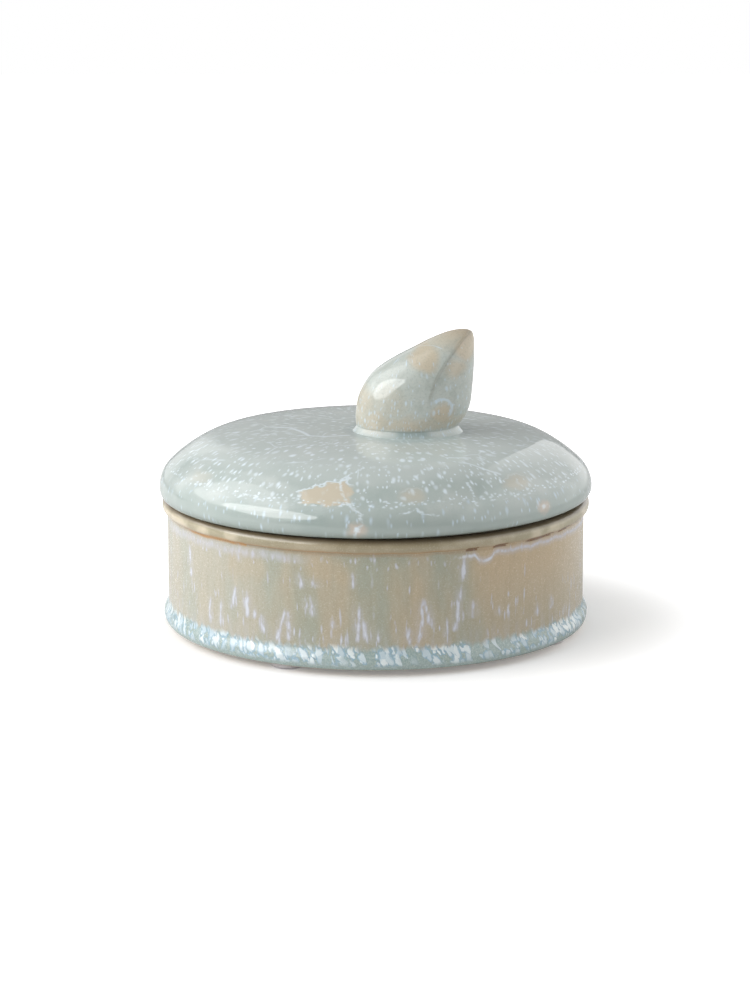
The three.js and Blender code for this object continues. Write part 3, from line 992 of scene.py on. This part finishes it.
def lay_breaks(bud, rise, cloud):
    """Tan islands and a brown tip on grey-green, then grain and painted shade along the fold.
    Gives back the grain.
    """
    tan = bud.ease(rise, 26.0, 32.0) * 0.7
    loose = (cloud - 0.5) * 8.0
    for across, level, reach, amount in KNOB_ISLANDS:
        way = bud.hypot(bud.x - across, bud.z - level) + loose
        tan = bud.most(tan, bud.ease(way, reach * 1.3, reach * 0.4) * amount)
    tan = bud.most(tan, bud.near(rise + loose * 0.2, 4.4, 3.0) * 0.6)
    bud.lay(tan * 0.95, KNOB_TAN)
    bud.lay(bud.ease(rise, 31.0, 34.5) * 0.4, TIP_BROWN)
    grain = bud.noise(bud.place, length=0.6, detail=2.0, seed=1.9)
    bud.lay(bud.ease(grain, 0.5, 0.75) * 0.2, STRAW)
    bud.lay(bud.ease(grain, 0.52, 0.28) * 0.22, KNOB_SHADE)
    mottle = bud.noise(bud.place, length=4.0, detail=3.0, seed=7.4)
    bud.lay(bud.ease(mottle, 0.52, 0.36) * (1 - tan) * 0.2, KNOB_SHADE)
    # Painted shade in the crease along the fold, on the front
    fold = bud.stroke(bud.vector(bud.x, bud.z, 0.0), FOLD_LINE, 0.8) * bud.ease(bud.y, 4.0, 1.0)
    bud.lay(fold * 0.28, FOLD_PAINTED_SHADE)
    return grain


print("knob:", len(KNOB_ISLANDS), "tan islands")

# %% Flecks and collar of the knob
COLLAR_PALE = tone(222, 229, 228)
FLECK_BLUE = tone(204, 221, 234)
BUD_RADIUS = 17.0
DROP_MIDDLE = (11.1, -15.0, 75.6)
DROP_RADIUS = 3.4


def lay_flecks(bud, rise):
    """The pooled collar, bluer and darker at the front as painted shade, and flecks drawn out upright,
    more of them low down. Gives back the flecks.
    """
    pool = bud.ease(rise, 2.8, 1.4)
    # Blue glaze pooled round the collar, with more of it at the front as painted shade
    front = bud.towards(6.0, 26.0, 0.5)
    bud.lay(pool * 0.28, COLLAR_PALE)
    bud.lay(pool * (front * 0.7 + 0.15), POOL_BLUE)
    bud.lay(bud.ease(rise, 1.0, 0.2) * 0.7, CELADON)
    drawn = bud.warped(bud.chart(BUD_RADIUS, rise, drawn=2.0), reach=0.6, length=2.5, seed=3.0)
    low = bud.ease(rise, 26.0, 3.0)
    collar = bud.specks(drawn, pitch=1.0, size=0.46, chance=0.6, seed=4.1, core=0.2)
    flecks = bud.most(
        bud.specks(drawn, pitch=2.1, size=0.32, chance=low * 0.3 + 0.35, seed=1.2, core=0.2),
        bud.specks(drawn, pitch=1.2, size=0.36, chance=low * low * 0.5 + 0.06, seed=6.5, core=0.2),
        collar * bud.near(rise, 2.0, 1.6),
    )
    bud.lay(flecks * 0.7, FLECK_BLUE)
    return flecks


def lay_burst_drop(bud):
    """The rim of one big drop that burst, low on the front."""
    across, _, above = bud.split(bud.vector_math("SUBTRACT", bud.place, DROP_MIDDLE))
    way = bud.hypot(across, above) + bud.drift(bud.place, length=3.0, detail=2.0, seed=6.6, spread=1.5)
    arc = bud.near(way, DROP_RADIUS, 0.7) * bud.ease(across + above, -1.5, 1.5)
    bud.lay(arc * bud.ease(bud.y, -6.0, -10.0) * 0.6, FLECK_BLUE)


print("burst drop:", DROP_RADIUS, "mm")

# %% Glaze of the knob
CROWN_LEVEL = 66.5


def knob_glaze():
    bud = GlazeBench("knob_glaze", KNOB_GREY, KNOB_AXIS)
    rise = bud.z - CROWN_LEVEL
    cloud = bud.noise(bud.place, length=9.0, detail=2.0, seed=2.6)
    grain = lay_breaks(bud, rise, cloud)
    flecks = lay_flecks(bud, rise)
    lay_burst_drop(bud)
    roughness = bud.ease(cloud, 0.3, 0.7) * 0.04 + 0.05
    return bud.finish(roughness, flecks * 0.25 + grain * 0.06, 0.1)


KNOB_GLAZE = knob_glaze()

# %% [markdown]
# ## Clear pads
# The bowl stands on four stick-on bumpers of clear silicone. They let light through but blur it, and a slight
# haze and dust keep them from looking like glass.

# %% Silicone of the pads
SILICONE = tone(246, 242, 246)
SILICONE_DUST = tone(206, 200, 203)


def pad_silicone():
    pad = GlazeBench("pad_silicone", SILICONE)
    dust = pad.noise(pad.place, 1.2, 3.0, 1.0)
    pad.lay(pad.ease(dust, 0.5, 0.7) * 0.5, SILICONE_DUST)
    pad.shader.inputs["Transmission Weight"].default_value = 0.45
    pad.shader.inputs["IOR"].default_value = 1.41
    return pad.finish(pad.ease(dust, 0.3, 0.7) * 0.2 + 0.3, dust, 0.03)


PAD_SILICONE = pad_silicone()

# %% [markdown]
# ## The bowl
# The bowl's half outline runs from the middle of its underside, out over the bare ring, round the flared
# foot, up the straight wall and over the rim, then down the inside to the middle of the floor. The radii and
# levels are the frame's own, less the little that the wall may wander.

# %% The bowl
BOWL_WANDER = 0.12
jar_low, jar_high = (np.array(corner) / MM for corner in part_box("jar_body"))
RIM_RADIUS = jar_high[0] - BOWL_WANDER
RIM_TOP = jar_high[2]
RING_Z = jar_low[2]
FOOT_RADIUS = WALL_RADIUS + 1.5
WALL = 4.9
FLOOR_Z = RING_Z + 5.4
RECESS = 1.2
RING_INSET = 2.3
RING_WIDTH = 15.2
BEAD_HEIGHT = 4.5


def bowl_outline():
    inside = WALL_RADIUS - WALL
    foot = FOOT_RADIUS
    ring_outer = foot - RING_INSET
    ring_inner = ring_outer - RING_WIDTH
    recess = RING_Z + RECESS
    cove = RING_Z + 5.0
    rim_foot = RIM_TOP - BEAD_HEIGHT
    outline = Outline(0.0, recess)
    outline.stretch(10, (ring_inner - RECESS, recess))
    outline.stretch(3, (ring_inner, RING_Z))
    outline.stretch(8, (ring_outer, RING_Z))
    outline.stretch(12, (foot - 0.4, RING_Z), (foot - 0.1, RING_Z + 1.5), (foot, RING_Z + 2.8))
    outline.stretch(16, (foot, cove), (WALL_RADIUS, cove), (WALL_RADIUS, RING_Z + 7.6))
    outline.stretch(48, (WALL_RADIUS, rim_foot))
    outline.stretch(8, (RIM_RADIUS, rim_foot), (RIM_RADIUS, rim_foot + 2.0))
    outline.stretch(10, (RIM_RADIUS, RIM_TOP - 0.2), (RIM_RADIUS - 3.2, RIM_TOP))
    outline.stretch(4, (inside + 1.2, RIM_TOP))
    outline.stretch(6, (inside, RIM_TOP), (inside, RIM_TOP - 1.2))
    outline.stretch(20, (inside, FLOOR_Z + 5.0))
    outline.stretch(8, (inside, FLOOR_Z), (inside - 5.0, FLOOR_Z))
    outline.stretch(14, (0.0, FLOOR_Z))
    return outline


bowl = throw(
    "bowl", bowl_outline(), STEPS_ROUND, BOWL_WANDER, wander_length=45.0, seed=3.0, glaze=JAR_GLAZE
)
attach(bowl, "jar")
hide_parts("jar_body")
print("bowl:", len(bowl.data.polygons), "faces")

# %% [markdown]
# ## The lid
# The lid is turned the same way, from the middle of its hollow, out and down inside the flange that drops
# into the bowl, round the flange to the seat on the rim, and then over the outside. The belly is
# rounded, the shoulder above it is almost straight, and the shoulder rolls over on to the nearly flat crown.
# Outside the seat the edge hangs just clear of the rim, which leaves a dark line between the two. It
# slumped in the kiln, so that line is thin on one side and wide on the other.

# %% The lid
LID_WANDER = 0.1
lid_low, lid_high = (np.array(corner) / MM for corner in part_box("lid"))
LID_RADIUS = lid_high[0] - LID_WANDER
CROWN_TOP = lid_high[2] - 0.3
CROWN_RADIUS = 53.4
CROWN_DROP = 2.2
SEAT_EDGE = 67.2
SEAT_GAP = 0.4
LID_THICKNESS = 5.2
HOLLOW_DROP = 1.8
HOLLOW_TURN = 10
FLANGE_GAP = 0.7
FLANGE_WALL = 4.0
FLANGE_TURN = 2
SLUMP = 0.45
SLUMP_HEIGHT = 6.0
SLUMP_FADE = 4.0


def crown_height(radius):
    return CROWN_TOP - CROWN_DROP * (radius / CROWN_RADIUS) ** 5


def lid_outline():
    seat = RIM_TOP
    ceiling = CROWN_TOP - LID_THICKNESS
    hollow = ceiling - HOLLOW_DROP
    flange_outer = WALL_RADIUS - WALL - FLANGE_GAP
    flange_inner = flange_outer - FLANGE_WALL
    hollow_edge = flange_inner - HOLLOW_TURN
    flange_foot = lid_low[2]
    belly = seat + 3.4
    lip = seat + SEAT_GAP
    edge = LID_RADIUS
    outline = Outline(0.0, ceiling)
    outline.stretch(12, (hollow_edge / 2, ceiling), (hollow_edge, hollow))
    outline.stretch(10, (flange_inner, hollow), (flange_inner, hollow - HOLLOW_TURN))
    outline.stretch(8, (flange_inner, flange_foot + FLANGE_TURN))
    outline.stretch(5, (flange_inner, flange_foot), (flange_inner + FLANGE_TURN, flange_foot))
    outline.stretch(5, (flange_outer, flange_foot), (flange_outer, flange_foot + FLANGE_TURN))
    outline.stretch(5, (flange_outer, seat))
    outline.stretch(3, (SEAT_EDGE, seat))
    outline.stretch(3, (SEAT_EDGE + 0.5, lip))
    outline.stretch(3, (edge - 2.6, lip))
    outline.stretch(14, (edge - 1.0, lip), (edge, belly - 2.0), (edge, belly))
    outline.stretch(24, (edge, belly + 2.7), (edge - 1.1, belly + 5.25), (edge - 3.1, belly + 7.1))
    outline.stretch(14, (edge - 6.6, seat + 13.8), (edge - 10.4, seat + 16.15))
    outline.stretch(14, (edge - 14.9, seat + 19.0), (CROWN_RADIUS, crown_height(CROWN_RADIUS)))
    for radius in np.linspace(CROWN_RADIUS, 0.0, 40)[1:]:
        outline.points.append((radius, crown_height(radius)))
    return outline


def slump(piece):
    """Lowers the edge on one side and lifts it on the other, outside the seat."""
    for vertex in piece.data.vertices:
        radius = math.hypot(vertex.co.x, vertex.co.y) / MM
        if radius > SEAT_EDGE + 0.3:
            share = np.clip((RIM_TOP + SLUMP_HEIGHT - vertex.co.z / MM) / SLUMP_FADE, 0.0, 1.0)
            vertex.co.z += SLUMP * MM * share * vertex.co.x / MM / LID_RADIUS


lid = throw(
    "lid_dome", lid_outline(), STEPS_ROUND, LID_WANDER, wander_length=38.0, seed=8.0, glaze=LID_GLAZE
)
slump(lid)
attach(lid, "cover")
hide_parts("lid")
print("lid:", len(lid.data.polygons), "faces")

# %% [markdown]
# ## The bud
# The knob was modelled as a pointed bud that leans over, with the edge of one petal folded over the next
# down the front. Its outline runs from one side of the collar over the tip to the other side. The bud is
# lofted between the two sides: at each step an ellipse spans them, and past the fold the ellipse is set in.
# The collar flares out and sinks just under the lid's surface, as slip and glaze have filled the joint.

# %% The bud's outline and fold
BUD_ROUND = 288
BUD_RINGS = 132
BUD_OUTLINE = np.array([
    (-17.2, 2.2), (-17.3, 6.0), (-16.6, 10.7), (-15.0, 14.7), (-12.4, 18.7), (-9.1, 21.7),
    (-4.2, 24.8), (1.6, 27.8), (7.4, 30.8), (13.0, 33.1), (17.6, 34.0), (20.8, 33.5),
    (21.75, 31.6), (21.9, 29.3), (21.95, 27.0), (22.0, 24.7), (21.95, 22.0), (21.8, 19.0),
    (21.6, 16.0), (21.3, 12.6), (20.8, 9.2), (19.4, 5.6), (17.0, 2.2),
])
BUD_SIDE = (len(BUD_OUTLINE) - 1) // 2
BUD_DEPTHS = np.array([14.2, 14.1, 14.0, 13.9, 13.7, 13.1, 12.0, 10.6, 8.6, 5.4, 2.6, 0.0])
FOLD_STEP = 0.8
FOLD_FOOT_BEARING = math.radians(-77)
FOLD_TIP_TURN = math.radians(-18)
FOLD_EDGE = math.radians(2.5)
FOLD_REACH = math.radians(85)
FOLD_START = 0.12
FOLD_RUN_IN = 0.25
COLLAR_SINK = 0.9


def smooth_through(values, position):
    """A value or a point on the smooth line through a row of them. The position counts them from 0."""
    index = min(int(position), len(values) - 2)
    along = position - index
    start, end = values[index], values[index + 1]
    before = values[index - 1] if index > 0 else 2 * start - end
    after = values[index + 2] if index + 2 < len(values) else 2 * end - start
    bend = along * along * (3 - 2 * along)
    leaving = along * (1 - along) ** 2 * (end - before) / 2
    arriving = along * along * (1 - along) * (after - start) / 2
    return start + (end - start) * bend + leaving - arriving


def bud_ring(back, belly, depth, along=0.0, fold=0.0):
    """One ring of points across two side points, in millimetres from the middle of the collar."""
    bearing = np.linspace(0.0, math.tau, BUD_ROUND, endpoint=False)
    crease = FOLD_FOOT_BEARING + FOLD_TIP_TURN * along**3
    past = np.mod(bearing - crease, math.tau)
    inset = np.clip(past / FOLD_EDGE, 0.0, 1.0) * np.clip(1 - past / FOLD_REACH, 0.0, 1.0) ** 1.3
    size = 1 - fold * inset / max(depth, 1.0)
    middle, half = (back + belly) / 2, (belly - back) / 2
    across = np.cos(bearing) * size
    return np.stack(
        [middle[0] + half[0] * across, depth * np.sin(bearing) * size, middle[1] + half[1] * across], axis=1
    )


print("bud outline:", len(BUD_OUTLINE), "points")

# %% The bud's rings and mesh
def bud_rings():
    rings = []
    # Collar: a sloping ledge from under the lid's surface up to the crease that the bud grows out of
    waist, waist_height = (BUD_OUTLINE[-1][0] - BUD_OUTLINE[0][0]) / 2, BUD_OUTLINE[0][1]
    ledge = COLLAR_REACH - waist
    flare = Outline(ledge, -COLLAR_SINK)
    flare.stretch(5, (ledge - 0.4, -0.1), (ledge - 0.7, 0.3))
    flare.stretch(6, (-0.3, waist_height - 0.4))
    for reach, height in flare.points:
        side = np.array([waist + reach, 0.0])
        level = np.array([0.0, height])
        rings.append(bud_ring(level - side, level + side, BUD_DEPTHS[0] + reach))
    for step in range(BUD_RINGS):
        along = step / BUD_RINGS
        back = smooth_through(BUD_OUTLINE, along * BUD_SIDE)
        belly = smooth_through(BUD_OUTLINE, 2 * BUD_SIDE - along * BUD_SIDE)
        depth = smooth_through(BUD_DEPTHS, along * BUD_SIDE)
        start = np.clip((along - FOLD_START) / FOLD_RUN_IN, 0.0, 1.0)
        fold = FOLD_STEP * start * start * (3 - 2 * start) * (1 - 0.6 * along)
        rings.append(bud_ring(back, belly, depth, along, fold))
    return np.array(rings)


def bud_mesh():
    rings = bud_rings()
    tip = BUD_OUTLINE[BUD_SIDE]
    seat = crown_height(math.hypot(*KNOB_AXIS))
    points = np.vstack([rings.reshape(-1, 3), [[0.0, 0.0, -COLLAR_SINK], [tip[0], 0.0, tip[1]]]])
    points += (*KNOB_AXIS, seat)
    count = len(rings)
    seat_index, tip_index = count * BUD_ROUND, count * BUD_ROUND + 1
    last = (count - 1) * BUD_ROUND
    faces = []
    for step in range(BUD_ROUND):
        after = (step + 1) % BUD_ROUND
        faces.append((seat_index, after, step))
        faces.append((last + step, last + after, tip_index))
        for low in range(0, last, BUD_ROUND):
            top = low + BUD_ROUND
            faces.append((low + step, low + after, top + after, top + step))
    mesh = bpy.data.meshes.new("bud_knob")
    mesh.from_pydata((points * MM).tolist(), [], faces)
    mesh.shade_smooth()
    mesh.materials.append(KNOB_GLAZE)
    return mesh


bud = new_piece("bud_knob", bud_mesh())
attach(bud, "cover")
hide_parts("lid_knob")
bud_top = max(vertex.co.z for vertex in bud.data.vertices) / MM
print("bud:", len(bud.data.polygons), "faces, top at", round(bud_top, 2), "mm")

# %% [markdown]
# ## The pads
# One pad is turned on the wheel, and a second small tree sets a copy at each corner of a square on the ring.
# Four copies by hand would do too, but the tree keeps their count and the ring's size as named inputs.

# %% The pads
PAD_NODES = [f"foot_pad_{number}" for number in (1, 2, 3, 4)]
pad_low, pad_high = (np.array(corner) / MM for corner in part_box(PAD_NODES[0]))
PAD_RADIUS = (pad_high[0] - pad_low[0]) / 2
PAD_MIDDLE = (pad_high + pad_low) / 2
PAD_STEPS = 48
PAD_RING_INPUTS = {
    "Pad": "Object",
    "Count": "Int",
    "Ring Radius": "Float",
    "First Bearing": "Float",
    "Silicone": "Material",
}


def build_pad_ring():
    tree, identifiers = new_tree("pad_ring", PAD_RING_INPUTS, "Pads")
    ring = Bench(tree)
    entry = ring.node("NodeGroupInput")
    corners = ring.node(
        "GeometryNodeMeshCircle", None, {"Vertices": entry.out("Count"), "Radius": entry.out("Ring Radius")}
    )
    corners = ring.node(
        "GeometryNodeTransform",
        None,
        {"Geometry": corners, "Rotation": ring.vector(0.0, 0.0, entry.out("First Bearing"))},
    )
    pad = ring.node("GeometryNodeObjectInfo", None, {"Object": entry.out("Pad")}).out("Geometry")
    pads = ring.node("GeometryNodeInstanceOnPoints", None, {"Points": corners, "Instance": pad})
    pads = ring.node("GeometryNodeRealizeInstances", None, {"Geometry": pads})
    pads = ring.node("GeometryNodeSetMaterial", None, {"Geometry": pads, "Material": entry.out("Silicone")})
    ring.node("NodeGroupOutput", None, {"Pads": pads})
    return tree, identifiers


def pad_outline():
    outline = Outline(0.0, 0.0)
    outline.stretch(4, (PAD_RADIUS - 1.4, 0.0))
    outline.stretch(8, (PAD_RADIUS, 0.0), (PAD_RADIUS, 1.3))
    outline.stretch(3, (PAD_RADIUS, RING_Z))
    outline.stretch(4, (0.0, RING_Z))
    return outline


one_pad = throw(
    "one_pad", pad_outline(), PAD_STEPS, wander=0.0, wander_length=10.0, seed=0.0, glaze=PAD_SILICONE
)
pads = new_piece("foot_pads")
node_modifier(
    pads,
    *build_pad_ring(),
    {
        "Pad": one_pad,
        "Count": len(PAD_NODES),
        "Ring Radius": float(np.hypot(*PAD_MIDDLE[:2])) * MM,
        "First Bearing": math.atan2(PAD_MIDDLE[1], PAD_MIDDLE[0]),
        "Silicone": PAD_SILICONE,
    },
)
settle(pads, one_pad)
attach(pads, "jar")
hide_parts(*PAD_NODES)
print("pads:", len(pads.data.polygons), "faces")

# %% [markdown]
# ## Floor
# The jar stands on a white studio floor. A floor that is white by its lamps alone would need so much light
# that the pale glazes burn out. So it is lifted to white only for the camera and for what shows through the
# clear pads, by emission that throws no light on the glazes. Near the jar the lift is small, so that its
# soft shadow stays.

# %% Floor
FLOOR_SIZE = 6.0
FLOOR_WHITE = tone(240, 240, 240)
FLOOR_LIFT_NEAR = 0.2
FLOOR_LIFT_FAR = 1.0
LIFT_START = 0.06
LIFT_END = 0.165


def floor_material():
    material = bpy.data.materials.new("studio_floor")
    material.use_nodes = True
    bench = Bench(material.node_tree)
    shader = material.node_tree.nodes["Principled BSDF"]
    shader.inputs["Base Color"].default_value = FLOOR_WHITE
    shader.inputs["Roughness"].default_value = 0.9
    shader.inputs["Specular IOR Level"].default_value = 0.0
    shader.inputs["Emission Color"].default_value = (1.0, 1.0, 1.0, 1.0)
    rays = bench.node("ShaderNodeLightPath")
    x, y, _ = bench.split(bench.node("ShaderNodeTexCoord").out("Object"))
    seen = bench.math("MAXIMUM", rays.out("Is Camera Ray"), rays.out("Is Transmission Ray"))
    away = bench.ease(bench.hypot(x, y), LIFT_START, LIFT_END)
    lift = away * (FLOOR_LIFT_FAR - FLOOR_LIFT_NEAR) + FLOOR_LIFT_NEAR
    material.node_tree.links.new((seen * lift).socket, shader.inputs["Emission Strength"])
    return material


half = FLOOR_SIZE / 2
corners = [(-half, -half, 0), (half, -half, 0), (half, half, 0), (-half, half, 0)]
floor_mesh = bpy.data.meshes.new("floor")
floor_mesh.from_pydata(corners, [], [(0, 1, 2, 3)])
floor_mesh.materials.append(floor_material())
floor = new_piece("floor", floor_mesh)
print("floor:", FLOOR_SIZE, "m")

# %% [markdown]
# ## Lamps
# The light is a large oval soft box at the left, with a key above it and a small bright core nearer the
# front, and a white reflector at the right with a brighter middle. The gloss of the lid mirrors them, so
# they are area lamps with a size and an outline. Each is given by the way it is seen from the jar and by its
# radiance, which stays the same when its size changes.

# %% Lamps
LAMP_AIM = np.array([0.0, 0.0, 0.05])
LAMP_DISTANCE = 0.9
# Name, azimuth and elevation in degrees, half width, half height and radiance
LAMPS = (
    ("left_softbox", -86, 30.5, 1.1, 0.81, 0.85),
    ("left_key", -92, 38, 0.55, 0.4, 1.6),
    ("left_core", -60, 25, 0.5, 0.25, 3.9),
    ("right_reflector", 105, 18, 1.7, 0.85, 0.8),
    ("right_middle", 85, 22, 1.1, 0.75, 0.5),
)


def soft_lamp(name, azimuth, elevation, half_width, half_height, radiance):
    """A flat oval lamp seen from the jar at an azimuth from the front towards +X, facing the jar.
    Its half sizes are shares of its distance."""
    lamp = bpy.data.lights.new(name, "AREA")
    lamp.shape = "ELLIPSE"
    lamp.size = 2 * half_width * LAMP_DISTANCE
    lamp.size_y = 2 * half_height * LAMP_DISTANCE
    lamp.energy = radiance * math.pi * math.pi / 4 * lamp.size * lamp.size_y
    a, e = math.radians(azimuth), math.radians(elevation)
    direction = np.array([math.cos(e) * math.sin(a), -math.cos(e) * math.cos(a), math.sin(e)])
    holder = bpy.data.objects.new(name, lamp)
    holder.location = LAMP_AIM + LAMP_DISTANCE * direction
    holder.rotation_euler = (math.pi / 2 - e, 0.0, a)
    holder.visible_camera = False
    scene.collection.objects.link(holder)


for row in LAMPS:
    soft_lamp(*row)
print("lamps:", [light.name for light in bpy.data.lights])

# %% [markdown]
# ## World
# The world gives a dim even light from all round, and it is white for the camera and through the pads. The
# gloss mirrors a pale wall behind the jar, which is brighter at its left end. A real wall would also shade
# the jar, so it is drawn on the world by the way that a mirrored ray goes.

# %% World
WORLD_STRENGTH = 0.16
MIRRORED_BACK = 0.3
MIRRORED_LEFT = 0.9
# Soft edges of the wall and of its bright end, as a ray's way along an axis where they start and are full
BACK_EDGE_Y = (0.55, 0.75)
LEFT_EDGE_X = (-0.06, -0.28)
LEFT_EDGE_Y = (0.845, 0.885)
LEFT_EDGE_Z = (0.5, 0.4)

world = bpy.data.worlds.new("studio")
world.use_nodes = True
scene.world = world
sky = Bench(world.node_tree)
rays = sky.node("ShaderNodeLightPath")
way_x, way_y, way_z = sky.split(sky.node("ShaderNodeTexCoord").out("Generated"))
behind = sky.ease(way_y, *BACK_EDGE_Y) * MIRRORED_BACK
left_end = sky.ease(way_y, *LEFT_EDGE_Y) * sky.ease(way_x, *LEFT_EDGE_X) * sky.ease(way_z, *LEFT_EDGE_Z)
behind = sky.math("MAXIMUM", behind, left_end * MIRRORED_LEFT)
mirrored = rays.out("Is Glossy Ray") * behind
seen = sky.math("MAXIMUM", rays.out("Is Camera Ray"), rays.out("Is Transmission Ray"))
seen = sky.math("MAXIMUM", seen, mirrored)
background = world.node_tree.nodes["Background"]
background.inputs["Color"].default_value = (1.0, 1.0, 1.0, 1.0)
strength = seen * (1.0 - WORLD_STRENGTH) + WORLD_STRENGTH
world.node_tree.links.new(strength.socket, background.inputs["Strength"])
scene.view_settings.view_transform = "Standard"
print("world strength:", WORLD_STRENGTH)
